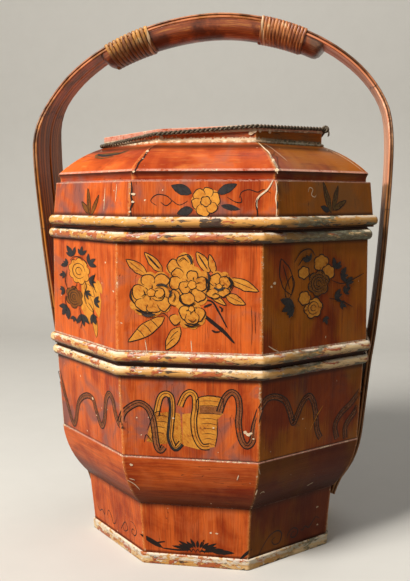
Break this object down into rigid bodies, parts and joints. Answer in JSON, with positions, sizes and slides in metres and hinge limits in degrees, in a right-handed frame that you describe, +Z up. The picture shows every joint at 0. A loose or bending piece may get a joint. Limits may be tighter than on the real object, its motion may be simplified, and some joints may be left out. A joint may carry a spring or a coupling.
{
  "type": "lacquered food basket",
  "caption": "Eight-sided wooden food basket on a flared foot, with a lift-off tray, a domed lid and a fixed arched handle of bent bamboo lashed to a grip.",
  "frame": {"origin": "on the floor, under the middle of the foot", "axes": "+Z up, +X to the right leg of the handle, -Y to the front that faces the viewer"},
  "size_m": [0.3497, 0.3166, 0.5094],
  "materials": {
    "lacquered_board": "worn red-orange lacquer over vertical grain, with painted ornament",
    "dark_lacquer": "dark red-brown lacquer, rubbed to a satin",
    "inner_lacquer": "plain dark lacquer, matt",
    "cane_bead": "flaked lacquer over pale gesso on split cane",
    "bamboo_strap": "brown lacquered bamboo with pale worn edges",
    "lashing_cane": "satin split cane, golden brown",
    "twisted_cord": "dark twisted fibre cord"
  },
  "bodies": {
    "base": {"foot_board_right": "lacquered_board", "foot_board_back_right": "lacquered_board", "foot_board_back": "lacquered_board", "foot_board_back_left": "lacquered_board", "foot_board_left": "lacquered_board", "foot_board_front_left": "lacquered_board", "foot_board_front": "lacquered_board", "foot_board_front_right": "lacquered_board", "foot_band": "cane_bead", "base_floor": "inner_lacquer", "cove_board_right": "lacquered_board", "cove_board_back_right": "lacquered_board", "cove_board_back": "lacquered_board", "cove_board_back_left": "lacquered_board", "cove_board_left": "lacquered_board", "cove_board_front_left": "lacquered_board", "cove_board_front": "lacquered_board", "cove_board_front_right": "lacquered_board", "body_board_right": "lacquered_board", "body_board_back_right": "lacquered_board", "body_board_back": "lacquered_board", "body_board_back_left": "lacquered_board", "body_board_left": "lacquered_board", "body_board_front_left": "lacquered_board", "body_board_front": "lacquered_board", "body_board_front_right": "lacquered_board", "base_rim_bead": "cane_bead", "base_lip": "inner_lacquer", "handle_outer_strap": "bamboo_strap", "handle_inner_strap_front": "bamboo_strap", "handle_inner_strap_back": "bamboo_strap", "handle_grip": "dark_lacquer", "left_lashing": "lashing_cane", "right_lashing": "lashing_cane"},
    "tray": {"tray_board_right": "lacquered_board", "tray_board_back_right": "lacquered_board", "tray_board_back": "lacquered_board", "tray_board_back_left": "lacquered_board", "tray_board_left": "lacquered_board", "tray_board_front_left": "lacquered_board", "tray_board_front": "lacquered_board", "tray_board_front_right": "lacquered_board", "tray_floor": "inner_lacquer", "tray_bottom_bead": "cane_bead", "tray_top_bead": "cane_bead", "tray_lip": "inner_lacquer"},
    "lid": {"lid_bead": "cane_bead", "lid_wall": "lacquered_board", "lid_shoulder": "dark_lacquer", "roof_board_right": "lacquered_board", "roof_board_back_right": "lacquered_board", "roof_board_back": "lacquered_board", "roof_board_back_left": "lacquered_board", "roof_board_left": "lacquered_board", "roof_board_front_left": "lacquered_board", "roof_board_front": "lacquered_board", "roof_board_front_right": "lacquered_board", "lid_collar": "lacquered_board", "lid_top_board": "lacquered_board", "collar_cord": "twisted_cord"}
  },
  "joints": [
    {"name": "tray_lift", "type": "slide", "parent": "base", "child": "tray", "axis": [0, 0, 1], "range_m": [0, 0.028]},
    {"name": "lid_lift", "type": "slide", "parent": "tray", "child": "lid", "axis": [0, 0, 1], "range_m": [0, 0.028]}
  ]
}
